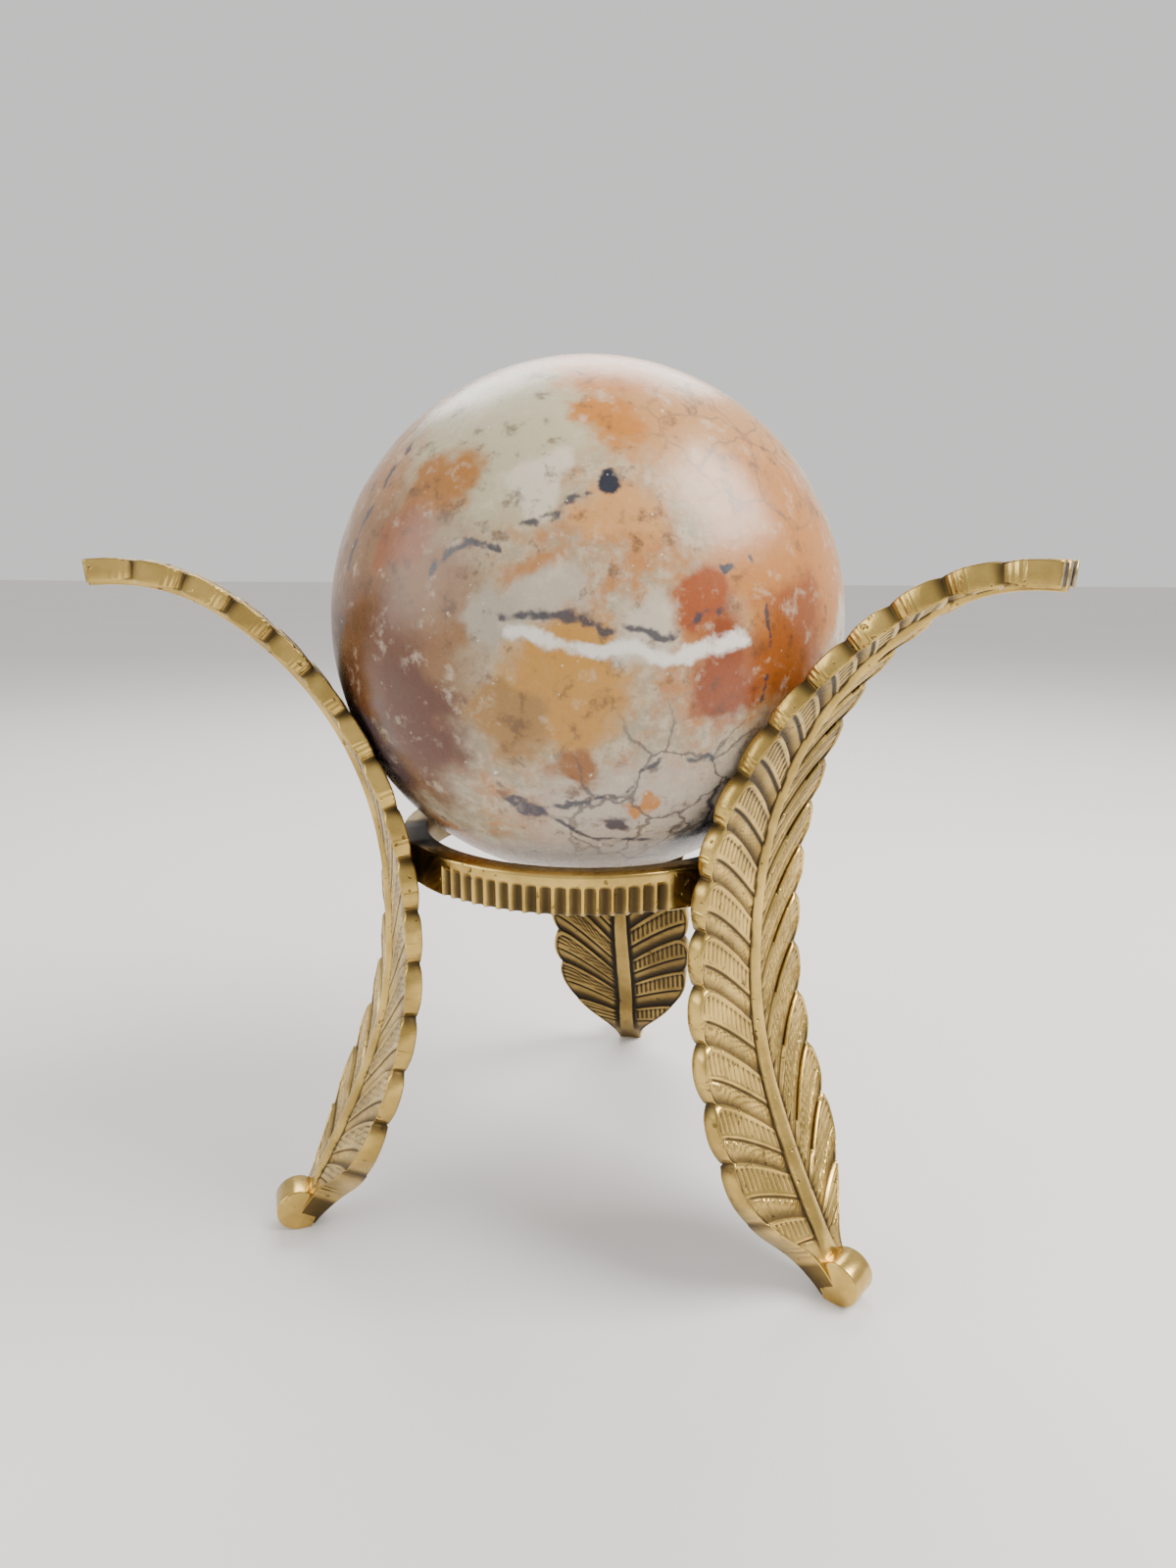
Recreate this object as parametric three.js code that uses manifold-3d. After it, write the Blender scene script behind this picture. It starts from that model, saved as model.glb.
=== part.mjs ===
// A polished stone ball held in a cast brass tripod: three leaf-shaped legs that curl outwards at
// the tip, joined below the ball by one fluted ring. Millimetres, +Z up. The object stands on its
// three feet, the back leg on the +Y side, and the origin lies under the middle of the whole.
import * as THREE from "three";
import { mergeVertices } from "three/addons/utils/BufferGeometryUtils.js";
import Module from "manifold-3d";

// --- driving dimensions ---------------------------------------------------------------------
const BALL_RADIUS = 70.2;
const BALL_HEIGHT = 170.6;            // centre of the ball above the floor
const LEG_ANGLES = { back: 90, left: 210, right: 330 };

// One leg is a long leaf. Its outer face follows a curve that starts in the foot and is given by
// the direction it climbs in, in degrees from straight outwards, at evenly spaced places.
const BLADE_LENGTH = 222;
const BLADE_START = { r: 90, z: 3.7 };
const BLADE_LEAN = [122, 117.2, 109, 94.8, 84.5, 69.1, 51.9, 31.5, -4];
const BLADE_HALF_WIDTH = [4.1, 7.2, 15.6, 22.4, 24.1, 24.3, 24.1, 23.6, 23.2, 23, 22.8, 22.4, 21.3,
  19.1, 16.7, 14, 11.7, 10.5, 9.4, 7.8, 5.2];
const BLADE_THICKNESS = [5.6, 7.4, 6.9, 4.9, 4, 3.8, 3.8, 3.8, 3.8, 3.8, 3.8, 3.8, 3.8, 3.8, 3.8, 3.9,
  4.1, 4.3, 4.5, 4.6, 4.6];
const BLADE_FOLD = 3;                 // degrees that each half is folded back from the stem
const STEM_HEIGHT = 1.1;              // the raised stem down the middle of the outer face
const STEM_GROOVE = 2.5;              // from the middle to the bottom of the groove beside it

// Scalloped leaflets: one long one at the foot, then shorter and shorter ones towards the tip.
const FIRST_LEAFLET = 8;
const FOOT_LEAFLET = 35;
const LEAFLETS = 13;
const LEAFLET_LONGEST = 15.4;
const LEAFLET_SHORTENING = 0.4;
const SCALLOP = [-1.7, 0.4, 0.9, 0.4];        // edge, at four places along each leaflet
const SHINGLE = [-0.55, 0.1, 0.35, 0.1];       // face, at the same four places
const CHEVRON = 1.2;                  // how far a leaflet slants back, in half widths
// The foot is flat underneath from its heel to its toe, and round in front.
const FOOT = { heel: 86, toe: 89.2, round: 6, halfWidth: 4.4 };

// The ring that joins the legs.
const RING_RADIUS = 53.5;
const RING_TOP = 114.1;
const RING_HEIGHT = 10.7;
const RING_WIDTH = 6.6;
const RING_BORDER = 3.1;              // plain border above the flutes
const PANEL_SPAN = 72;                // degrees of one fluted panel, between two legs
const PANEL_FRAME = 2.2;              // degrees of plain border at each end of a panel
const FLUTES = 17;
const FLUTE_DEPTH = 1.1;
const PAD_FLAT = 7;                   // degrees each side of a leg where solder fills the gap
const PAD_END = 13;
const SEAT_GAP = 0.35;

const rad = THREE.MathUtils.degToRad;

// --- small helpers --------------------------------------------------------------------------
// A smooth value along evenly spaced stations, t from 0 to 1.
function along(stations, t) {
  const x = THREE.MathUtils.clamp(t, 0, 1) * (stations.length - 1);
  const i = Math.min(Math.floor(x), stations.length - 2);
  const at = (k) => stations[THREE.MathUtils.clamp(k, 0, stations.length - 1)];
  const f = x - i;
  const m0 = (at(i + 1) - at(i - 1)) / 2;
  const m1 = (at(i + 2) - at(i)) / 2;
  const a = (2 * f ** 3 - 3 * f ** 2 + 1) * at(i) + (f ** 3 - 2 * f ** 2 + f) * m0;
  return a + (-2 * f ** 3 + 3 * f ** 2) * at(i + 1) + (f ** 3 - f ** 2) * m1;
}

// A closed mesh from rings of points: each ring is joined to the next, and the two ends are
// either capped or, for a loop, joined to each other.
function skin(rings, looped) {
  const n = rings[0].length;
  const points = rings.flat();
  const faces = [];
  const last = looped ? rings.length : rings.length - 1;
  for (let i = 0; i < last; i++) {
    const a = i * n;
    const b = ((i + 1) % rings.length) * n;
    for (let k = 0; k < n; k++) {
      const m = (k + 1) % n;
      faces.push(a + k, b + m, b + k, a + k, a + m, b + m);
    }
  }
  if (!looped) {
    for (const [start, turn] of [[0, 1], [(rings.length - 1) * n, -1]]) {
      const middle = new THREE.Vector3();
      for (let k = 0; k < n; k++) middle.addScaledVector(points[start + k], 1 / n);
      points.push(middle);
      for (let k = 0; k < n; k++) {
        const m = (k + 1) % n;
        const pair = turn > 0 ? [start + m, start + k] : [start + k, start + m];
        faces.push(points.length - 1, ...pair);
      }
    }
  }
  const geometry = new THREE.BufferGeometry();
  const flat = points.flatMap((p) => [p.x, p.y, p.z]);
  geometry.setAttribute("position", new THREE.Float32BufferAttribute(flat, 3));
  geometry.setIndex(faces);
  return geometry;
}

const wasm = await Module();
wasm.setup();

function toSolid(geometry) {
  const g = geometry.clone();
  g.deleteAttribute("normal");
  g.deleteAttribute("uv");
  const merged = mergeVertices(g, 1e-4);
  const vertProperties = new Float32Array(merged.attributes.position.array);
  const triVerts = new Uint32Array(merged.index.array);
  return new wasm.Manifold(new wasm.Mesh({ numProp: 3, vertProperties, triVerts }));
}

function toGeometry(solid) {
  const mesh = solid.getMesh();
  const geometry = new THREE.BufferGeometry();
  const position = new THREE.BufferAttribute(new Float32Array(mesh.vertProperties), 3);
  geometry.setAttribute("position", position);
  geometry.setIndex(Array.from(mesh.triVerts));
  return geometry;
}

// --- one leg, standing in the XZ plane with its tip towards +X --------------------------------
// The spine is walked in 1 mm steps, turning as the leans say.
const SPINE = [{ r: BLADE_START.r, z: BLADE_START.z }];
for (let s = 1; s <= BLADE_LENGTH; s++) {
  const lean = rad(along(BLADE_LEAN, (s - 0.5) / BLADE_LENGTH));
  const before = SPINE[s - 1];
  SPINE.push({ r: before.r + Math.cos(lean), z: before.z + Math.sin(lean) });
}

// A point of the leg: s along the spine, y across it, n out of its outer face.
function bladePoint(s, y, n) {
  const c = THREE.MathUtils.clamp(s, 0, BLADE_LENGTH);
  const i = Math.min(Math.floor(c), BLADE_LENGTH - 1);
  const f = c - i;
  const lean = rad(along(BLADE_LEAN, c / BLADE_LENGTH));
  const r = SPINE[i].r + (SPINE[i + 1].r - SPINE[i].r) * f + Math.sin(lean) * n;
  const z = SPINE[i].z + (SPINE[i + 1].z - SPINE[i].z) * f - Math.cos(lean) * n;
  return new THREE.Vector3(r, y, z);
}

// Rows of the leaf: where each starts at the edge, and how far its scallop and shingle stand.
function bladeRows() {
  const rows = [
    { s: 0, edge: 0, face: 0 },
    { s: 4, edge: 0, face: 0 },
  ];
  const half = FOOT_LEAFLET / 2;
  for (const [k, t] of [0, 0.33, 0.67, 1, 1.33, 1.67].entries()) {
    const face = [-0.3, 0.2, 0.2, -0.5, 0.2, 0.3][k];
    rows.push({ s: FIRST_LEAFLET + half * t, edge: k ? 0.5 : 0, face });
  }
  let s = FIRST_LEAFLET + FOOT_LEAFLET;
  for (let leaflet = 0; leaflet < LEAFLETS; leaflet++) {
    const length = LEAFLET_LONGEST - LEAFLET_SHORTENING * leaflet;
    const small = 1 - 0.45 * (leaflet / LEAFLETS);
    for (const [k, t] of [0, 0.18, 0.5, 0.82].entries()) {
      rows.push({ s: s + length * t, edge: SCALLOP[k] * small, face: SHINGLE[k] * small });
    }
    s += length;
  }
  rows.push({ s, edge: -0.4, face: -0.3 });
  rows.push({ s: s + 0.4 * (BLADE_LENGTH - s), edge: 0.4, face: 0.1 });
  rows.push({ s: BLADE_LENGTH - 1.4, edge: 0.2, face: 0.1 });
  rows.push({ s: BLADE_LENGTH, edge: -0.8, face: 0 });
  return rows;
}

// The slant of a row, zero at both ends of the leaf so that its foot and its tip end square.
function slant(s, width) {
  const foot = s > 0 ? Math.min(1, 0.15 + s / 70) : 0;
  const tip = THREE.MathUtils.clamp((BLADE_LENGTH - s) / 22, 0, 1);
  return CHEVRON * width * foot * tip;
}

function bladeRing(row) {
  const t = row.s / BLADE_LENGTH;
  const even = along(BLADE_HALF_WIDTH, t);
  const width = even + row.edge;
  const thick = along(BLADE_THICKNESS, t);
  const slope = Math.tan(rad(BLADE_FOLD));
  const groove = Math.min(STEM_GROOVE, width * 0.45);
  const back = slant(row.s, even);
  const place = (y, lift, turned) => {
    const u = Math.abs(y) / width;
    const s = row.s - turned * back * (1 - u) ** 1.35;
    return bladePoint(s, y, lift - Math.abs(y) * slope);
  };
  const relief = Math.min(1, row.s / 20);
  const outer = [
    [-width, 0],
    [-0.78 * width, row.face * relief],
    [-0.45 * width, row.face * relief],
    [-groove, -0.45 * relief],
    [0, STEM_HEIGHT * relief * (1 - 0.4 * t)],
    [groove, -0.45 * relief],
    [0.45 * width, row.face * relief],
    [0.78 * width, row.face * relief],
    [width, 0],
  ];
  const inner = [
    [width, 0],
    [width / 2, -0.6 * row.face * relief],
    [0, 0],
    [-width / 2, -0.6 * row.face * relief],
    [-width, 0],
  ];
  return [
    ...outer.map(([y, lift]) => place(y, lift, 1)),
    ...inner.map(([y, lift]) => place(y, lift - thick, 0.8)),
  ];
}

function legGeometry() {
  const blade = toSolid(skin(bladeRows().map(bladeRing), false));
  const { heel, toe, round, halfWidth } = FOOT;
  const side = new THREE.Shape();
  side.moveTo(heel, 0);
  side.lineTo(toe, 0);
  side.absarc(toe, round, round, -Math.PI / 2, rad(138), false);
  side.lineTo(heel - 2, 2.2 * round);
  side.lineTo(heel - 4.5, 1.4 * round);
  const options = { depth: 2 * halfWidth, bevelEnabled: false, curveSegments: 16 };
  const foot = new THREE.ExtrudeGeometry(side, options);
  foot.translate(0, 0, -halfWidth);
  foot.rotateX(Math.PI / 2);
  const above = new THREE.BoxGeometry(400, 200, 400);
  above.translate(0, 0, 200);
  return toGeometry(blade.add(toSolid(foot)).intersect(toSolid(above)));
}

// --- the ring -------------------------------------------------------------------------------
// Where the inner face of a leg stands at a height, so that the solder pads can reach it.
function legInner(height) {
  let nearest = Infinity;
  for (let s = 80; s < 150; s += 0.5) {
    const p = bladePoint(s, 0, -along(BLADE_THICKNESS, s / BLADE_LENGTH));
    if (Math.abs(p.z - height) < 0.6) nearest = Math.min(nearest, p.x);
  }
  return nearest;
}

function ringGeometry() {
  const bottom = RING_TOP - RING_HEIGHT;
  const shoulder = RING_TOP - RING_BORDER;
  const levels = [bottom, shoulder - 0.5, shoulder, RING_TOP];
  const pads = levels.map((z) => legInner(z) - SEAT_GAP - RING_RADIUS);
  const section = (angle, depth, pad) => {
    const a = rad(angle);
    const at = (r, z) => new THREE.Vector3(r * Math.cos(a), r * Math.sin(a), z);
    const out = levels.map((z, i) => RING_RADIUS + pads[i] * pad - (i < 2 ? depth : 0));
    return [
      at(RING_RADIUS - RING_WIDTH, RING_TOP),
      ...levels.map((z, i) => at(out[i], z)).reverse(),
      at(RING_RADIUS - RING_WIDTH, bottom),
    ];
  };
  const sections = [];
  const pitch = (PANEL_SPAN - 2 * PANEL_FRAME) / FLUTES;
  for (const middle of [30, 150, 270]) {
    const start = middle - PANEL_SPAN / 2 + PANEL_FRAME;
    sections.push(section(middle - PANEL_SPAN / 2, 0, 0));
    for (let flute = 0; flute < FLUTES; flute++) {
      const a = start + flute * pitch;
      sections.push(section(a + 0.08 * pitch, 0, 0));
      sections.push(section(a + 0.5 * pitch, FLUTE_DEPTH, 0));
      sections.push(section(a + 0.92 * pitch, 0, 0));
    }
    sections.push(section(middle + PANEL_SPAN / 2, 0, 0));
    for (const turn of [-PAD_END, -PAD_FLAT, 0, PAD_FLAT, PAD_END]) {
      const pad = Math.abs(turn) <= PAD_FLAT ? 1 : 0;
      sections.push(section(middle + 60 + turn, 0, pad));
    }
  }
  return skin(sections, true);
}

// --- the object -----------------------------------------------------------------------------
const brass = new THREE.MeshStandardMaterial({ color: 0xa8843f, roughness: 0.34, metalness: 1 });
const stone = new THREE.MeshStandardMaterial({ color: 0x9a7d64, roughness: 0.12, metalness: 0 });

const group = new THREE.Group();
const legs = legGeometry();
legs.computeBoundingBox();
const tipReach = legs.boundingBox.max.x;

function addPiece(name, geometry, material, turn) {
  const mesh = new THREE.Mesh(geometry, material);
  mesh.name = name;
  mesh.rotation.z = rad(turn);
  group.add(mesh);
  return mesh;
}

const ball = new THREE.SphereGeometry(BALL_RADIUS, 40, 20);
ball.rotateX(Math.PI / 2);
addPiece("stone_ball", ball, stone, 0).position.z = BALL_HEIGHT;
for (const [side, angle] of Object.entries(LEG_ANGLES)) {
  addPiece(`leaf_leg_${side}`, legs, brass, angle);
}
addPiece("fluted_ring", ringGeometry(), brass, 0);

// The tripod's own axis stands in front of the middle of the whole, because only one leg points
// backwards: the group is moved so that the origin lies under the middle.
group.position.y = -(tipReach - BALL_RADIUS) / 2;

export default group;
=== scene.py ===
# %% [markdown]
# # A stone ball on a leaf-legged brass stand
# The solids of this object are already packed: a ball, three legs shaped like curling leaves, and
# a fluted ring that ties the legs together. This lesson dresses them. It loads those solids as a
# fixed frame, models each piece again with its fine carving, and gives it a finish. Reading the
# sizes back from the frame, instead of typing them again, keeps the dressed piece on its solid.

# %% Load the frame
import functools
import math
import bmesh
import bpy
from mathutils import Matrix, Vector, noise


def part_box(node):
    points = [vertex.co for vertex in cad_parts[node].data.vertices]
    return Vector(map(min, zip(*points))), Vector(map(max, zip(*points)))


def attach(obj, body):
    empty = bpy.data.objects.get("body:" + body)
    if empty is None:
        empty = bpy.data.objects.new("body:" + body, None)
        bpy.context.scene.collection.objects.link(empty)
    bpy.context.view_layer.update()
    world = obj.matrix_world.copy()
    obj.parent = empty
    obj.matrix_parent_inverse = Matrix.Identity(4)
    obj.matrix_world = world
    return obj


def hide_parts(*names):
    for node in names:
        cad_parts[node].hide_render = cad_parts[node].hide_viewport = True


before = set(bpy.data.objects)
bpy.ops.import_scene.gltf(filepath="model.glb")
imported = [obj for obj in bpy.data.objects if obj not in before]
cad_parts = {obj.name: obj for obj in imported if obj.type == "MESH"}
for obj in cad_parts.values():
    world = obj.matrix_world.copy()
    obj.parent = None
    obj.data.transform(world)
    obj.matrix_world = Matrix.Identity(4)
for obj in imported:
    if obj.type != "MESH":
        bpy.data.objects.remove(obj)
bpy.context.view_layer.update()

print("solids in the frame:", ", ".join(sorted(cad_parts)))

# %% [markdown]
# ## Working units
# The carving is thought of in millimetres, as a chaser would, and the frame is in metres. Every
# mesh here is shaped in millimetres round the stand's own upright axis, and one function moves
# it to its place and scales it as it becomes an object. The axis is read from the ball's solid.

# %% Millimetres, and the stand's own axis
MM = 0.001
ball_low, ball_high = (Vector(corner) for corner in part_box("stone_ball"))
ball_centre = (ball_low + ball_high) / 2 / MM
ball_radius = (ball_high.z - ball_low.z) / 2 / MM
axis_y = ball_centre.y


def smooth_step(low, high, value):
    t = min(max((value - low) / (high - low), 0.0), 1.0)
    return t * t * (3 - 2 * t)


def bump_at(value, middle, width):
    """A round hump, 1 at the middle, that has died away about two widths off."""
    return math.exp(-((value - middle) / width) ** 2)


def as_object(bm, name, finish, smooth=True):
    """Turns millimetres round the stand's axis into a placed object in metres."""
    bmesh.ops.translate(bm, verts=bm.verts, vec=(0, axis_y, 0))
    bmesh.ops.scale(bm, verts=bm.verts, vec=(MM, MM, MM))
    mesh = bpy.data.meshes.new(name)
    bm.to_mesh(mesh)
    bm.free()
    for face in mesh.polygons:
        face.use_smooth = smooth
    mesh.materials.append(finish)
    piece = bpy.data.objects.new(name, mesh)
    bpy.context.scene.collection.objects.link(piece)
    triangles = sum(len(face.vertices) - 2 for face in mesh.polygons)
    print(f"{name}: {triangles} triangles")
    return piece


print(f"ball radius {ball_radius:.1f} mm, centre {ball_centre.z:.1f} mm above the floor")

# %% [markdown]
# ## The camera
# The stand was looked at from in front and a little to the right, from just above the ball's
# middle, close up and with a wide lens, so the near leg looks large and the back one small. A
# camera is placed by the direction it looks in: a quaternion that tracks that direction with
# its own -Z axis needs no angles worked out by hand.

# %% Camera
CAMERA_TURN = 11.4          # degrees to the right of straight ahead
CAMERA_DISTANCE = 283       # millimetres, level, from the stand's axis
CAMERA_HEIGHT = 190.3
CAMERA_TILT = 13.1          # degrees that it looks down
turn = math.radians(CAMERA_TURN)
tilt = math.radians(CAMERA_TILT)
look = Vector((-math.sin(turn) * math.cos(tilt), math.cos(turn) * math.cos(tilt), -math.sin(tilt)))
eye = Vector((math.sin(turn), -math.cos(turn), 0)) * CAMERA_DISTANCE
camera_data = bpy.data.cameras.new("camera")
camera_data.lens = 22.81
camera_data.sensor_width = 36
camera_data.clip_start = 0.01
camera = bpy.data.objects.new("camera", camera_data)
camera.location = (eye + Vector((0, axis_y, CAMERA_HEIGHT))) * MM
camera.rotation_mode = "QUATERNION"
camera.rotation_quaternion = look.to_track_quat("-Z", "Y")
bpy.context.scene.collection.objects.link(camera)
bpy.context.scene.camera = camera
print("camera at", tuple(round(v, 3) for v in camera.location))

# %% [markdown]
# ## Writing shaders as sums
# A material is a graph of nodes. Written link by link it is long and hard to read, so this small
# class wraps an output socket and lets Python's own signs add the Math nodes: `1 - mask * 0.5`
# makes two of them. Everything else comes from one method that takes a node's type, its settings
# and what goes into its sockets. Colours are mixed by Mix nodes, because Math nodes see only grey.

# %% A socket that can be added and multiplied
class Wire:
    def __init__(self, finish, socket):
        self.finish = finish
        self.socket = socket

    def maths(self, operation, *others):
        return self.finish.node("ShaderNodeMath", {"operation": operation},
                                dict(enumerate((self, *others))))

    def __add__(self, other):
        return self.maths("ADD", other)

    __radd__ = __add__

    def __sub__(self, other):
        return self.maths("SUBTRACT", other)

    def __rsub__(self, other):
        return self.finish.node("ShaderNodeMath", {"operation": "SUBTRACT"}, {0: other, 1: self})

    def __mul__(self, other):
        return self.maths("MULTIPLY", other)

    def __truediv__(self, other):
        return self.maths("DIVIDE", other)

    def step(self, low, high):
        """0 below low, 1 above high, with a soft change between; low may be the larger."""
        return self.finish.node("ShaderNodeMapRange", {"interpolation_type": "SMOOTHSTEP"},
                                {0: self, 1: low, 2: high, 3: 0.0, 4: 1.0})


class Finish:
    def __init__(self, name):
        self.material = bpy.data.materials.new(name)
        self.material.use_nodes = True
        self.tree = self.material.node_tree
        self.tree.nodes.clear()

    def node(self, kind, settings=None, inputs=None, output=0):
        node = self.tree.nodes.new(kind)
        for name, value in (settings or {}).items():
            setattr(node, name, value)
        for name, value in (inputs or {}).items():
            if isinstance(value, Wire):
                self.tree.links.new(value.socket, node.inputs[name])
            else:
                node.inputs[name].default_value = value
        return Wire(self, node.outputs[output])

    def place(self):
        return self.node("ShaderNodeTexCoord", output="Object")

    def attribute(self, name):
        return self.node("ShaderNodeAttribute", {"attribute_name": name}, output="Fac")

    def mix(self, factor, first, second):
        return self.node("ShaderNodeMix", {"data_type": "RGBA"},
                         {0: factor, 6: first, 7: second}, output=2)

    def cloud(self, where, scale, detail=3.0, roughness=0.5, output="Fac"):
        inputs = {"Vector": where, "Scale": scale, "Detail": detail, "Roughness": roughness}
        return self.node("ShaderNodeTexNoise", None, inputs, output)

    def vector(self, operation, first, second, output=0):
        return self.node("ShaderNodeVectorMath", {"operation": operation},
                         {0: first, 1: second}, output)

    def shader(self, inputs):
        surface = self.node("ShaderNodeBsdfPrincipled", None, inputs)
        end = self.tree.nodes.new("ShaderNodeOutputMaterial")
        self.tree.links.new(surface.socket, end.inputs["Surface"])
        return self.material


def paint(red, green, blue):
    """A colour as a painter's chart gives it, 0 to 255, turned into the light it sends back."""
    shares = [channel / 255 for channel in (red, green, blue)]
    light = [c / 12.92 if c < 0.04045 else ((c + 0.055) / 1.055) ** 2.4 for c in shares]
    return (*light, 1.0)


print("shader helpers ready")

# %% [markdown]
# ## Floor and light
# A plain pale floor and soft studio light show the metal's shape: a large window-like panel high
# on the right gives the broad highlight on the ball and the glints on the leaf edges, a weaker
# one on the left lifts the shadows, a third lights the back, and the world is an even pale grey.

# %% Floor
floor_finish = Finish("pale floor")
floor_tone = floor_finish.cloud(floor_finish.place(), 3.0)
floor_finish.shader({
    "Base Color": floor_finish.mix(floor_tone, paint(222, 219, 216), paint(230, 228, 226)),
    "Roughness": 0.7,
})
FLOOR_HALF = 6000
floor_mesh = bmesh.new()
bmesh.ops.create_grid(floor_mesh, x_segments=2, y_segments=2, size=FLOOR_HALF)
floor = as_object(floor_mesh, "floor", floor_finish.material, smooth=False)

# %% Light
def light_panel(name, place, aim, width, height, power, tint=(1, 1, 1)):
    data = bpy.data.lights.new(name, "AREA")
    data.shape = "RECTANGLE"
    data.size = width * MM
    data.size_y = height * MM
    data.energy = power
    data.color = tint
    panel = bpy.data.objects.new(name, data)
    panel.location = Vector(place) * MM
    direction = Vector(aim) - Vector(place)
    panel.rotation_mode = "QUATERNION"
    panel.rotation_quaternion = direction.to_track_quat("-Z", "Y")
    bpy.context.scene.collection.objects.link(panel)


aim = (0, axis_y, 120)
light_panel("window_right", (700, -60, 850), aim, 560, 560, 18, (1.0, 0.98, 0.95))
light_panel("fill_left", (-900, -500, 500), aim, 700, 700, 5, (0.95, 0.98, 1.0))
light_panel("sky_back", (-200, 700, 900), aim, 900, 500, 9)

world = bpy.data.worlds.new("studio")
bpy.context.scene.world = world
world.use_nodes = True
background = world.node_tree.nodes["Background"]
background.inputs["Color"].default_value = paint(236, 235, 234)
background.inputs["Strength"].default_value = 1.0

# %% [markdown]
# ## The stone ball
# The real ball was turned from a block of patchy stone, cream and grey-white with orange and rust
# stains, and crossed by dark veins, then polished. A sphere of equal triangles has no poles, so
# its polish stays even all round; a very slight wobble makes it a hand-polished ball instead of a
# perfect one.

# %% [markdown]
# ## Places on the ball
# A stain or vein is placed by a clock angle and by how far round the ball it lies from the front.
# The material measures distances on a ball of radius 1. Pushing the surface about with a cloud
# first gives everything that is drawn on it a ragged edge.

# %% Places on the ball
def ball_place(clock, round_from_front):
    """A direction on the ball: clock in degrees, 0 right and 90 up, then degrees from the front."""
    towards_eye = Vector((eye.x, eye.y, CAMERA_HEIGHT - ball_centre.z)).normalized()
    right = Vector((math.cos(turn), math.sin(turn), 0))
    up = right.cross(-towards_eye).normalized()
    angle = math.radians(clock)
    away = math.radians(round_from_front)
    across = right * math.cos(angle) + up * math.sin(angle)
    return towards_eye * math.cos(away) + across * math.sin(away)


stone = Finish("polished stone")
ball_middle = tuple(ball_centre * MM)
from_middle = stone.vector("SUBTRACT", stone.place(), ball_middle)
skin_place = stone.node("ShaderNodeVectorMath", {"operation": "SCALE"},
                        {0: from_middle, "Scale": 1 / (ball_radius * MM)})


def ragged(amount, scale):
    """The ball's surface, pushed about by a cloud so that what is drawn on it gets ragged edges."""
    cloud = stone.cloud(skin_place, scale, 4.0, 0.6, output="Color")
    centred = stone.vector("SUBTRACT", cloud, (0.5, 0.5, 0.5))
    pushed = stone.node("ShaderNodeVectorMath", {"operation": "SCALE"},
                        {0: centred, "Scale": amount})
    return stone.vector("ADD", skin_place, pushed)


rough_place = ragged(0.4, 3.6)
vein_place = ragged(0.13, 7.0)
print("a ball of radius 1 to paint on")

# %% [markdown]
# ## Stains and a painted sheen
# The ground is cream with broad tan clouds. Stains are laid over it one after another, so a later
# one covers an earlier one, and a fine cloud mottles them all with dark and pale grains. One of
# them, a purple-grey patch low on the left, is a painted sheen of the polish, not a stain.

# %% Stains and a painted sheen
STONE_TINT = (0.78, 0.72, 0.64)     # how much red, green and blue the whole stone keeps
VEIN_TONE = (54, 54, 64)
SPOT_TONE = (30, 32, 44)


def stain(where, clock, away, size, soft=0.45):
    """How much a stain covers: 1 near its middle, 0 beyond its size (in ball radii)."""
    gap = stone.vector("DISTANCE", where, tuple(ball_place(clock, away)), output="Value")
    return gap.step(size, size * (1 - soft))


broad = stone.cloud(skin_place, 2.4, 8.0, 0.66)
fine = stone.cloud(skin_place, 11.0, 8.0, 0.7)
cream = stone.mix(fine.step(0.38, 0.62), paint(164, 156, 134), paint(226, 216, 194))
colour = stone.mix(broad.step(0.45, 0.58), cream, paint(192, 136, 80))
STAINS_AND_SHEEN = [             # clock angle, degrees from the front, size in ball radii, colour
    (55, 50, 0.50, (206, 152, 92)), (17, 47, 0.48, (200, 134, 66)),
    (178, 46, 0.62, (152, 112, 70)), (200, 54, 0.55, (110, 70, 44)),
    # The second entry on the next line, at clock 211, is a painted sheen: a purple-grey reflection
    # of the polish.
    (206, 39, 0.24, (98, 54, 32)), (211, 60, 0.22, (92, 76, 80)),
    (116, 42, 0.46, (202, 197, 168)), (138, 41, 0.19, (178, 120, 50)),
    (155, 43, 0.15, (158, 94, 46)), (87, 61, 0.27, (208, 138, 64)),
    (84, 41, 0.17, (200, 130, 46)), (77, 21, 0.14, (216, 162, 102)),
    (-6, 44, 0.26, (160, 90, 38)), (-18, 28, 0.18, (146, 72, 26)),
    (11, 22, 0.15, (164, 86, 40)), (-80, 52, 0.50, (202, 192, 182)),
    (-50, 52, 0.36, (208, 200, 190)), (-1, 70, 0.14, (208, 202, 192)),
    (-105, 14, 0.28, (206, 154, 70)), (-130, 24, 0.18, (170, 130, 70)),
    (-95, 28, 0.12, (158, 106, 56)), (150, 7, 0.17, (200, 192, 178)),
    (-12, 10, 0.15, (214, 206, 192)), (170, 16, 0.14, (190, 182, 168)),
    (108, 27, 0.13, (226, 220, 206)), (-61, 57, 0.15, (66, 68, 80)),
    (-77, 43, 0.07, (82, 74, 86)), (-107, 39, 0.06, (84, 76, 88)),
    (-72, 38, 0.06, (206, 140, 68)), (19, 29, 0.04, (72, 74, 86)),
]
for clock, away, size, tone in STAINS_AND_SHEEN:
    colour = stone.mix(stain(rough_place, clock, away, size), colour, paint(*tone))
colour = stone.mix(fine.step(0.53, 0.67) * 0.7, colour, paint(96, 68, 44))
colour = stone.mix(fine.step(0.46, 0.3) * 0.5, colour, paint(232, 222, 202))
colour = stone.vector("MULTIPLY", colour, STONE_TINT)
print(len(STAINS_AND_SHEEN), "stains")

# %% [markdown]
# ## Veins
# A vein is a thin line through a few stops on the ball. The distance to it is measured to the
# nearest point of each straight piece between two stops, and the smallest one counts. Some areas
# are also crazed with a net of cracks, and small pale flecks lie all over.

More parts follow.
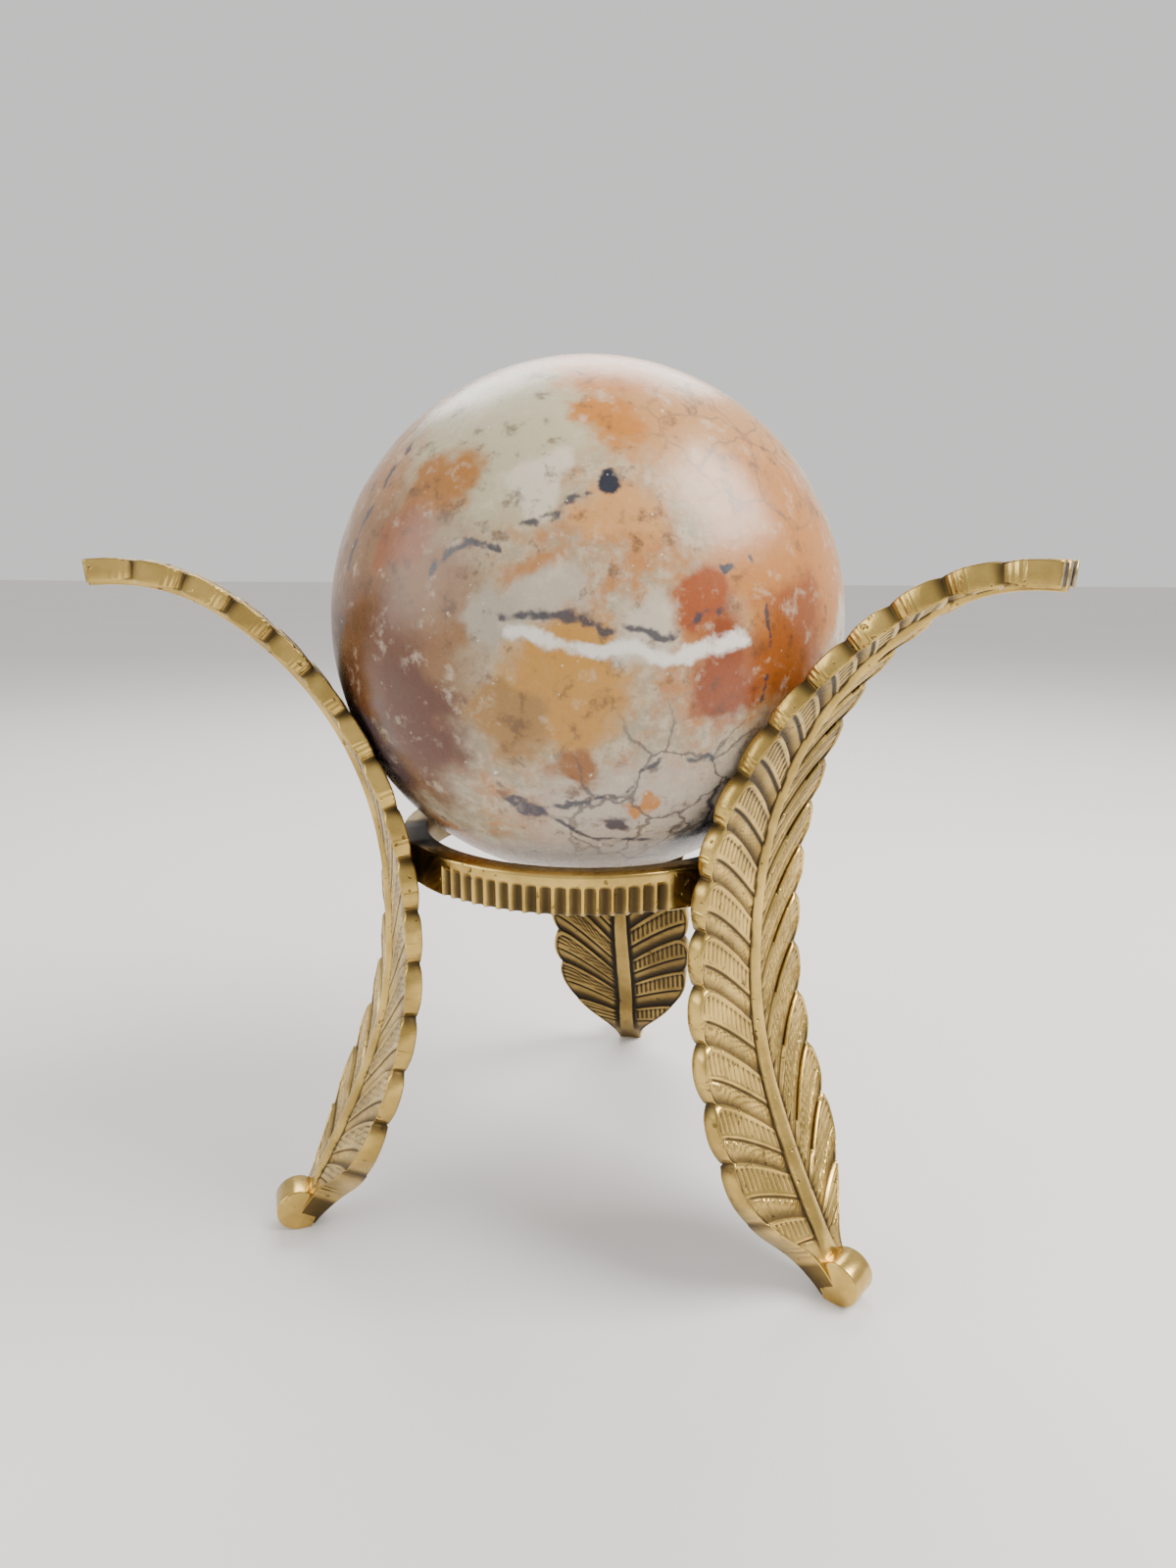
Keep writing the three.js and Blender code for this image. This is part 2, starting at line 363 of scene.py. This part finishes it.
# %% Veins, cracks and flecks
def vein(width, *stops):
    """A thin line through stops on the ball, each a clock angle and degrees from the front."""
    places = [ball_place(*stop) for stop in stops]
    cover = None
    for start, end in zip(places, places[1:]):
        reach = end - start
        from_start = stone.vector("SUBTRACT", vein_place, tuple(start))
        share = stone.vector("DOT_PRODUCT", from_start, tuple(reach), output="Value")
        share = (share / reach.length_squared).maths("MAXIMUM", 0.0).maths("MINIMUM", 1.0)
        nearest = stone.node("ShaderNodeVectorMath", {"operation": "SCALE"},
                             {0: tuple(reach), "Scale": share})
        gap = stone.vector("DISTANCE", from_start, nearest, output="Value")
        line = gap.step(width, width * 0.3)
        cover = line if cover is None else cover.maths("MAXIMUM", line)
    return cover


crackle = stone.node("ShaderNodeTexVoronoi", {"feature": "DISTANCE_TO_EDGE"},
                     {"Vector": vein_place, "Scale": 5.0}, output="Distance").step(0.04, 0.008)
cracked = stain(vein_place, -66, 42, 0.5).maths("MAXIMUM", stain(vein_place, 50, 52, 0.45) * 0.6)
colour = stone.mix(crackle * cracked * 0.75, colour, paint(76, 64, 62))
colour = stone.mix(vein(0.035, (190, 13), (-60, 5), (-20, 17), (-5, 30)), colour,
                   paint(226, 220, 208))
DARK_VEINS = [
    (0.024, [(176, 15), (150, 4), (-15, 4), (-4, 17), (8, 27)]),
    (0.020, [(81, 26), (107, 20), (122, 22)]),
    (0.020, [(162, 31), (146, 27), (138, 21)]),
    (0.013, [(23, 34), (-2, 36), (-30, 41)]),
    (0.020, [(116, 70), (140, 57), (160, 57), (185, 62)]),
    (0.017, [(-122, 61), (-103, 38), (-80, 34), (-60, 30), (-45, 36)]),
    (0.020, [(-107, 39), (-88, 47), (-61, 56), (-52, 44)]),
]
for width, stops in DARK_VEINS:
    colour = stone.mix(vein(width, *stops) * 0.9, colour, paint(*VEIN_TONE))
spot = stain(vein_place, 81, 26, 0.055, 0.35)
colour = stone.mix(spot, colour, paint(*SPOT_TONE))
fleck = stone.cloud(skin_place, 42.0, 2.0, 0.5).step(0.72, 0.80)
colour = stone.mix(fleck * 0.7, colour, paint(236, 226, 206))
polish = stone.cloud(skin_place, 26.0, 4.0, 0.6)
stone.shader({
    "Base Color": colour,
    "Roughness": polish * 0.16 + 0.2,
    "Normal": stone.node("ShaderNodeBump", None, {"Strength": 0.06, "Distance": 0.001,
                                                  "Height": polish}),
})
print(len(DARK_VEINS) + 1, "veins")

# %% [markdown]
# ## The ball's mesh
# The finish goes on a fine sphere of triangles, which is then worked very slightly uneven.

# %% Ball mesh
POLISH_WOBBLE = 0.06        # millimetres that the hand-polished ball strays from a true sphere
ball_mesh = bmesh.new()
bmesh.ops.create_icosphere(ball_mesh, subdivisions=7, radius=ball_radius)
for vert in ball_mesh.verts:
    outwards = vert.co.normalized()
    vert.co -= outwards * POLISH_WOBBLE * (1 + noise.noise(outwards * 2.5))
bmesh.ops.translate(ball_mesh, verts=ball_mesh.verts, vec=(0, 0, ball_centre.z))
ball = as_object(ball_mesh, "polished_ball", stone.material)
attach(ball, "root")
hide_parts("stone_ball")

# %% [markdown]
# ## Aged brass
# The stand is cast brass that has darkened with age. Its high places are rubbed to warm gold,
# the deep places are brown, and the inner faces, with the outer face of each curled tip, are
# given painted shade, darker all over. Each brass mesh carries that as an attribute, one number
# on every point, written while the carving is made, because only the carving knows where it is
# deep.

# %% Brass finish
brass = Finish("aged brass")
brass_place = brass.place()
depth = brass.attribute("depth")            # 0 on the rubbed heights, 1 in the deepest places
painted_shade = brass.attribute("painted_shade")        # painted shade: 1 on the inner faces, less on the curled tips, which are painted darker
hatch = brass.attribute("hatch")            # the finest strokes of the chaser's tool
blotch = brass.cloud(brass_place, 70.0, 4.0, 0.6)
grain = brass.cloud(brass_place, 900.0, 3.0, 0.6)
pits = brass.cloud(brass_place, 420.0, 2.0, 0.5).step(0.66, 0.74)
gold = brass.mix(blotch.step(0.35, 0.65), paint(214, 180, 102), paint(178, 148, 80))
# How old the brass looks: real patina in the hollows and random blotches, plus painted shade on the
# inner faces and curled tips.
patina_and_shade = (depth.step(0.15, 0.95) * 0.85 + (blotch - 0.5) * 0.35 + painted_shade * 0.5).step(0.05, 0.95)
aged = brass.mix(patina_and_shade, gold, paint(82, 64, 32))
# Near black where the patina is deepest, pushed further by the painted shade on the inner faces.
aged = brass.mix((depth + painted_shade * 0.3).step(0.7, 1.15), aged, paint(26, 20, 11))
aged = brass.mix(pits * 0.6, aged, paint(60, 42, 24))
height = hatch * 0.00025 + grain * 0.00004 - pits * 0.00018
brass.shader({
    "Base Color": aged,
    "Metallic": 1 - patina_and_shade * 0.25,
    "Roughness": 0.2 + patina_and_shade * 0.24 + grain * 0.08,
    "Normal": brass.node("ShaderNodeBump", None, {"Strength": 1.0, "Distance": 1.0,
                                                  "Height": height}),
})

# %% [markdown]
# ## The leaf's own curve
# Each leg is one long leaf, 222 mm from foot to tip. It leans out at the foot, stands upright
# past the ring, cradles the ball and curls outwards. The curve is walked in 1 mm steps, turning
# as a few named leans say, which are the same values as the solid's, so the dressed leaf lies
# on it. A leaf could also be bent with a curve modifier, but then its carving would stretch.

# %% Blade curve and widths
BLADE_LENGTH = 222
BLADE_START = (90, 3.7)     # outwards from the axis, and up
BLADE_LEAN = [122, 117.2, 109, 94.8, 84.5, 69.1, 51.9, 31.5, -4]
BLADE_HALF_WIDTH = [4.1, 7.2, 15.6, 22.4, 24.1, 24.3, 24.1, 23.6, 23.2, 23, 22.8, 22.4, 21.3,
                    19.1, 16.7, 14, 11.7, 10.5, 9.4, 7.8, 5.2]
BLADE_THICKNESS = [5.6, 7.4, 6.9, 4.9, 4] + [3.8] * 10 + [3.9, 4.1, 4.3, 4.5, 4.6, 4.6]
BLADE_FOLD = 3              # degrees that each half is folded back from the stem


def along(stations, t):
    """A smooth value along evenly spaced stations, t from 0 to 1."""
    x = min(max(t, 0.0), 1.0) * (len(stations) - 1)
    i = min(int(x), len(stations) - 2)
    f = x - i
    before, here, after, beyond = (stations[min(max(k, 0), len(stations) - 1)]
                                   for k in (i - 1, i, i + 1, i + 2))
    start_slope = (after - before) / 2
    end_slope = (beyond - here) / 2
    return ((2 * f**3 - 3 * f**2 + 1) * here + (f**3 - 2 * f**2 + f) * start_slope
            + (3 * f**2 - 2 * f**3) * after + (f**3 - f**2) * end_slope)


spine = [Vector(BLADE_START)]
for step in range(1, BLADE_LENGTH + 1):
    lean = math.radians(along(BLADE_LEAN, (step - 0.5) / BLADE_LENGTH))
    spine.append(spine[-1] + Vector((math.cos(lean), math.sin(lean))))


def blade_point(s, y, lift):
    """A point of the leaf: s along it, y across it, lift out of its outer face."""
    s = min(max(s, 0.0), BLADE_LENGTH)
    i = min(int(s), BLADE_LENGTH - 1)
    lean = math.radians(along(BLADE_LEAN, s / BLADE_LENGTH))
    r, z = spine[i].lerp(spine[i + 1], s - i)
    return Vector((r + math.sin(lean) * lift, y, z - math.cos(lean) * lift))


print(f"the tip is at {spine[-1].x:.1f} mm out and {spine[-1].y:.1f} mm up")

# %% [markdown]
# ## Rows that follow the leaflets
# The leaf is a grid of points, and its rows follow its leaflets: they start at the scalloped edge
# and slant down to the stem, so that every raised outline and vein runs along a row and stays
# crisp. Rows are close together at the outlines and the veins and wider apart between them.

# %% Rows and columns
LEAFLET_STARTS = [8, 25.5, 43]
LEAFLETS = 13
LEAFLET_LONGEST = 15.4
LEAFLET_SHORTENING = 0.4
for number in range(LEAFLETS):
    LEAFLET_STARTS.append(LEAFLET_STARTS[-1] + LEAFLET_LONGEST - LEAFLET_SHORTENING * number)
ROWS_PER_LEAFLET = 26
FOOT_ROWS = 8
TIP_ROWS = 14
COLUMNS = 108


def crowd(t, amount, places):
    """t from 0 to 1 with its steps crowded together at both ends and at places between."""
    return t - amount * math.sin(2 * math.pi * places * t) / (2 * math.pi * places)


leaf_rows = [(LEAFLET_STARTS[0] * k / FOOT_ROWS, -1, 0.0) for k in range(FOOT_ROWS)]
for number, (start, end) in enumerate(zip(LEAFLET_STARTS, LEAFLET_STARTS[1:])):
    for k in range(ROWS_PER_LEAFLET):
        v = crowd(k / ROWS_PER_LEAFLET, 0.5, 2)
        leaf_rows.append((start + (end - start) * v, number, v))
for k in range(TIP_ROWS + 1):
    leaf_rows.append((LEAFLET_STARTS[-1] + (BLADE_LENGTH - LEAFLET_STARTS[-1]) * k / TIP_ROWS,
                      len(LEAFLET_STARTS) - 1, k / TIP_ROWS * 0.9))
print(f"{len(leaf_rows)} rows of {COLUMNS + 1} points, {len(LEAFLET_STARTS)} leaflets a side")

# %% [markdown]
# ## Carving one leaflet
# Seen from outside, a leaflet is a lobe with a raised line round its outline, a vein down its
# middle with a groove beside it, coarse strokes above the vein and very fine ones below it. It
# rises like a shingle from under its lower neighbour. Each of these is a simple hump or groove
# of height, measured in millimetres from the outline or the vein, and the heights add up.

# %% Height of the carving
CHEVRON = 0.95              # how far a leaflet slants back, in half widths
CHEVRON_DIFFERENCE = 0.18   # the right half slants more than this mean, the left half less
STEM_HALF_FOOT = 2.75
STEM_HALF_TIP = 1.5
STEM_HEIGHT = 1.15
LOBE_CORNER = 3.4           # radius of the round top of each lobe
NOTCH = 1.7                 # how deep the edge is cut between two lobes
STROKE_PITCH = 1.75
STROKE_HEIGHT = 0.15
HATCH_PITCH = 0.8
RIM_HEIGHT = 0.48           # the raised line round each lobe
RIM_INSET = 0.4
RIM_HALF_WIDTH = 0.34
SLANT_BEND = 1.35           # above 1, leaflets leave the stem steeply and flatten at the edge
BED = 0.75                  # how deep the stem's bed lies under the face


def slant(s, width, across, right_half):
    lopsided = CHEVRON_DIFFERENCE * smooth_step(0, 0.12, across)
    chevron = CHEVRON + (lopsided if right_half else -lopsided)
    foot = min(1.0, 0.15 + s / 70) if s > 0 else 0.0
    tip = min(max((BLADE_LENGTH - s) / 22, 0.0), 1.0)
    return chevron * width * foot * tip


def leaflet_size(number):
    return 1 - 0.45 * max(number - 2, 0) / LEAFLETS


def edge_scallop(number, v):
    """How far the edge stands out from the leaf's even outline."""
    if number < 0:
        return 0.0
    if number < 2:
        v = (number + v) / 2
        return 0.5 * math.sin(math.pi * v) - 0.9 * bump_at(v, 1, 0.06)
    size = leaflet_size(number)
    return size * (0.9 - (0.9 + NOTCH) * (1 - math.sin(math.pi * v) ** 0.55))


def outer_relief(s, number, v, across, width, length, right_half):
    """(height, depth for the patina, fine hatch) of the outer face at one point, in millimetres."""
    fade = smooth_step(6, 16, s)
    size = leaflet_size(number)
    from_edge = (1 - across) * width
    slope = CHEVRON * SLANT_BEND * max(1 - across, 0.0) ** (SLANT_BEND - 1)
    squeeze = 1 / math.sqrt(1 + slope * slope)
    from_top = (1 - v) * length * squeeze
    corner = LOBE_CORNER * size
    if from_top < corner and from_edge < corner and number > 1:
        inside = corner - math.hypot(corner - from_top, corner - from_edge)
    else:
        inside = min(from_top, from_edge if number > 1 else from_edge + 0.3)
    rim = RIM_HEIGHT * bump_at(inside, RIM_INSET, RIM_HALF_WIDTH) * smooth_step(0.2, 0.4, across)
    shingle = -0.5 + 0.6 * smooth_step(0.0, 0.4, v)
    if inside < 0:
        shingle -= 0.35 * smooth_step(0.0, -0.8, inside)
    off_vein = (v - 0.5) * length * squeeze
    vein_fade = smooth_step(1.0, 0.86, across)
    vein = (0.26 * bump_at(off_vein, 0.3, 0.3) - 0.3 * bump_at(off_vein, -0.35, 0.4)) * vein_fade
    y = across * width
    if right_half:
        stroke = math.sin(2 * math.pi * (s * 0.93 - y * 0.4) / (STROKE_PITCH * 0.95))
    else:
        stroke = math.sin(2 * math.pi * y / STROKE_PITCH)
    band = smooth_step(0.55, 0.62, v) * smooth_step(0.6, 1.3, inside)
    strokes = STROKE_HEIGHT * stroke * band
    fine_band = smooth_step(0.04, 0.12, v) * smooth_step(0.47, 0.4, v)
    fine = fine_band * (0.5 + 0.5 * math.sin(2 * math.pi * (y + off_vein * 0.6) / HATCH_PITCH))
    height = (shingle + rim + vein + strokes) * fade
    stem_half = STEM_HALF_FOOT + (STEM_HALF_TIP - STEM_HALF_FOOT) * smooth_step(20, 130, s)
    bar = -BED + (STEM_HEIGHT + BED) * math.sqrt(max(1 - (y / stem_half) ** 2, 0.0))
    beside = smooth_step(stem_half * 1.9, stem_half * 0.95, y)
    height = height * (1 - beside) + beside * fade * (bar if y < stem_half else -BED)
    groove = 0.45 * bump_at(off_vein, -0.35, 0.45) * vein_fade + 0.3 * bump_at(inside, 1.1, 0.4)
    depth = 0.36 - height * 0.85 + 0.3 * band * (0.5 - 0.5 * stroke) + groove * (1 - beside)
    return height * min(1.0, 0.35 + s / 40), min(max(depth, 0.0), 1.0), fine * fade * (1 - beside)


print("carving heights ready")

# %% [markdown]
# ## One leaf leg
# The outer face is a grid whose points are moved to the curve and raised by the carving. The
# inner face is a second, plainer grid, and a bridge of faces between the two borders makes the
# thick edge. The foot is a side outline, extruded across and beveled.

# %% Two faces and an edge
EDGE_ROUND = 0.3


SHADED_TIP = 0.55           # painted shade: the curled top of a leaf is painted darker than its upright part


def leaf_face(bm, layers, outer):
    made = bmesh.ops.create_grid(bm, x_segments=len(leaf_rows) - 1, y_segments=COLUMNS, size=1)
    for vert in made["verts"]:
        row = round((vert.co.x + 1) / 2 * (len(leaf_rows) - 1))
        side = -1 if vert.co.y < 0 else 1
        across = crowd(abs(vert.co.y), 0.45, 1)
        row_s, number, v = leaf_rows[row]
        t = row_s / BLADE_LENGTH
        even = along(BLADE_HALF_WIDTH, t)
        width = even + edge_scallop(number, v)
        back = slant(row_s, even, across, side > 0) * (1 - across) ** SLANT_BEND
        s = row_s - back * (1.0 if outer else 0.9)
        thick = along(BLADE_THICKNESS, t)
        starts = LEAFLET_STARTS + [BLADE_LENGTH + 4]
        length = starts[number + 1] - starts[number]
        lift, depth, hatch = outer_relief(s, number, v, across, width, length, side > 0)
        from_edge = min((1 - across) * width, EDGE_ROUND)
        rounding = EDGE_ROUND - math.sqrt(max(EDGE_ROUND**2 - (EDGE_ROUND - from_edge) ** 2, 0))
        fold = math.tan(math.radians(BLADE_FOLD)) * across * width
        if outer:
            lift = lift - fold - rounding
        else:
            lift = -thick - fold - 0.5 * lift + rounding
            hatch *= 0.5
        vert.co = blade_point(s, side * across * width, lift)
        vert.co.z = max(vert.co.z, 0.0)
        # Painted shade: the whole inner face, the outer face of the curled tip and a little of the
        # inner edge are painted darker.
        shade = SHADED_TIP * smooth_step(112, 150, row_s) if outer else 1.0
        if across > 0.995:
            depth = 0.75 * bump_at(v, 1, 0.22) + 0.75 * bump_at(v, 0, 0.12)
            shade = 0.0 if outer else 0.3
        vert[layers["depth"]] = depth
        vert[layers["hatch"]] = hatch
        vert[layers["painted_shade"]] = shade
    return made["verts"]


def leaf_leg():
    bm = bmesh.new()
    layers = {name: bm.verts.layers.float.new(name) for name in ("depth", "hatch", "painted_shade")}
    leaf_face(bm, layers, outer=True)
    leaf_face(bm, layers, outer=False)
    rims = [edge for edge in bm.edges if edge.is_boundary]
    bmesh.ops.bridge_loops(bm, edges=rims)
    bmesh.ops.recalc_face_normals(bm, faces=bm.faces)
    return bm, layers


# %% [markdown]
# ## The foot
# The foot is flat underneath and round in front. Its side outline is one face, extruded across
# the leaf, and a bevel takes the sharpness off the two rims.

# %% The foot
FOOT_BEVEL = 0.45
FOOT = {"heel": 86, "toe": 89.2, "round": 6, "half_width": 4.4}


def add_foot(bm, layers):
    outline = [(FOOT["heel"], 0), (FOOT["toe"], 0)]
    for degrees in range(-84, 139, 6):
        angle = math.radians(degrees)
        outline.append((FOOT["toe"] + FOOT["round"] * math.cos(angle),
                        FOOT["round"] + FOOT["round"] * math.sin(angle)))
    outline += [(FOOT["heel"] - 2, 2.2 * FOOT["round"]), (FOOT["heel"] - 4.5, 1.4 * FOOT["round"])]
    half = FOOT["half_width"]
    corners = [bm.verts.new((x, -half, z)) for x, z in outline]
    side = bm.faces.new(corners)
    pulled = bmesh.ops.extrude_face_region(bm, geom=[side])["geom"]
    far = [item for item in pulled if isinstance(item, bmesh.types.BMVert)]
    bmesh.ops.translate(bm, verts=far, vec=(0, 2 * half, 0))
    points = corners + far
    faces = {face for vert in points for face in vert.link_faces}
    rims = {edge for vert in points for edge in vert.link_edges
            if abs(edge.verts[0].co.y - edge.verts[1].co.y) < 0.1}
    bmesh.ops.recalc_face_normals(bm, faces=list(faces))
    made = bmesh.ops.bevel(bm, geom=list(rims), affect="EDGES", offset=FOOT_BEVEL, segments=3,
                           profile=0.5, material=-1)
    for vert in points + made["verts"]:
        if vert.is_valid:
            vert[layers["depth"]] = 0.25


# %% [markdown]
# ## Three castings
# One pattern makes all three legs, turned to their places, and a slow, slight noise bends each
# one a little differently, as casting does. The soles are left flat. Vector noise starts from the
# clock unless it is given a seed, so one is set, and every run makes the same three castings.

# %% Three legs
def turned(bm, angle):
    copy = bm.copy()
    bmesh.ops.rotate(copy, verts=copy.verts, cent=(0, 0, 0),
                     matrix=Matrix.Rotation(math.radians(angle), 3, "Z"))
    return copy


CASTING_WOBBLE = 0.12       # millimetres; no two castings are quite alike
CASTING_SEED = 7
noise.seed_set(CASTING_SEED)
leg_pattern, leg_layers = leaf_leg()
add_foot(leg_pattern, leg_layers)
for side, angle in {"back": 90, "left": 210, "right": 330}.items():
    casting = turned(leg_pattern, angle)
    for vert in casting.verts:
        if vert.co.z > 1:
            vert.co += noise.noise_vector(vert.co / 22) * CASTING_WOBBLE
    leg = as_object(casting, f"carved_leg_{side}", brass.material)
    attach(leg, "root")
    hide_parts(f"leaf_leg_{side}")

# %% [markdown]
# ## The fluted ring
# The ring's section is drawn once and spun round the axis. Three panels of upright flutes lie
# between the legs. A flute is a round-bottomed channel, so the spun points are pushed in by the
# shape of that channel. Behind each leg the ring is thickened to meet it, where the solder is.

# %% Ring
RING_RADIUS = 53.5
RING_TOP = 114.1
RING_HEIGHT = 10.7
RING_WIDTH = 6.6
RING_BORDER = 3.1
PANEL_SPAN = 72
PANEL_FRAME = 2.2
FLUTES = 17
FLUTE_DEPTH = 1.1
PAD_FLAT = 7
PAD_END = 13
SEAT_GAP = 0.35
RING_STEPS = 1440
RING_LEVELS = 14


@functools.cache
def leg_inner(height):
    """Where the inner face of a leg stands at a height."""
    nearest = math.inf
    for step in range(160, 300):
        s = step / 2
        point = blade_point(s, 0, -along(BLADE_THICKNESS, s / BLADE_LENGTH))
        if abs(point.z - height) < 0.6:
            nearest = min(nearest, point.x)
    return nearest


def flute_depth(angle, height):
    """How deep the flutes are cut at an angle round the ring and a height on its face."""
    middle = min((30, 150, 270), key=lambda m: abs((angle - m + 180) % 360 - 180))
    turned_by = (angle - middle + 180) % 360 - 180 + PANEL_SPAN / 2 - PANEL_FRAME
    pitch = (PANEL_SPAN - 2 * PANEL_FRAME) / FLUTES
    if not 0 < turned_by < FLUTES * pitch:
        return 0.0
    across = (turned_by / pitch) % 1
    channel = math.sqrt(max(1 - ((across - 0.5) / 0.42) ** 2, 0.0))
    below_border = smooth_step(RING_TOP - RING_BORDER + 0.3, RING_TOP - RING_BORDER - 0.8, height)
    return FLUTE_DEPTH * channel * below_border


ring_mesh = bmesh.new()
ring_depth = ring_mesh.verts.layers.float.new("depth")
ring_painted_shade = ring_mesh.verts.layers.float.new("painted_shade")
ring_hatch = ring_mesh.verts.layers.float.new("hatch")
inside_r = RING_RADIUS - RING_WIDTH
bottom = RING_TOP - RING_HEIGHT
section = [(inside_r + 0.4, RING_TOP), (RING_RADIUS - 0.4, RING_TOP), (RING_RADIUS, RING_TOP - 0.4)]
section += [(RING_RADIUS, RING_TOP - 0.4 - (RING_HEIGHT - 0.8) * k / RING_LEVELS)
            for k in range(1, RING_LEVELS + 1)]
section += [(RING_RADIUS - 0.4, bottom), (inside_r + 0.4, bottom), (inside_r, bottom + 0.4),
            (inside_r, RING_TOP - 0.4)]
profile = [ring_mesh.verts.new((r, 0, z)) for r, z in section]
edges = [ring_mesh.edges.new(pair) for pair in zip(profile, profile[1:] + profile[:1])]
bmesh.ops.spin(ring_mesh, geom=edges, cent=(0, 0, 0), axis=(0, 0, 1), angle=2 * math.pi,
               steps=RING_STEPS, use_merge=True)
bmesh.ops.remove_doubles(ring_mesh, verts=ring_mesh.verts, dist=1e-4)
bmesh.ops.recalc_face_normals(ring_mesh, faces=ring_mesh.faces)
for vert in ring_mesh.verts:
    angle = math.degrees(math.atan2(vert.co.y, vert.co.x)) % 360
    radius = math.hypot(vert.co.x, vert.co.y)
    outside = smooth_step(inside_r + 1, RING_RADIUS - 0.5, radius)
    cut = flute_depth(angle, vert.co.z) * outside
    near_leg = min(abs((angle - leg + 180) % 360 - 180) for leg in (90, 210, 330))
    pad = smooth_step(PAD_END, PAD_FLAT, near_leg) * outside
    pad_radius = leg_inner(round(vert.co.z, 1)) - SEAT_GAP
    new_radius = radius - cut + pad * (pad_radius - RING_RADIUS)
    vert.co.x *= new_radius / radius
    vert.co.y *= new_radius / radius
    vert[ring_depth] = 0.3 + 0.6 * cut / FLUTE_DEPTH + 0.5 * smooth_step(20, 12, near_leg)
    # Painted shade: the ring's inner face is painted darker.
    vert[ring_painted_shade] = 1 - outside
ring = as_object(ring_mesh, "carved_ring", brass.material)
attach(ring, "root")
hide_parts("fluted_ring")
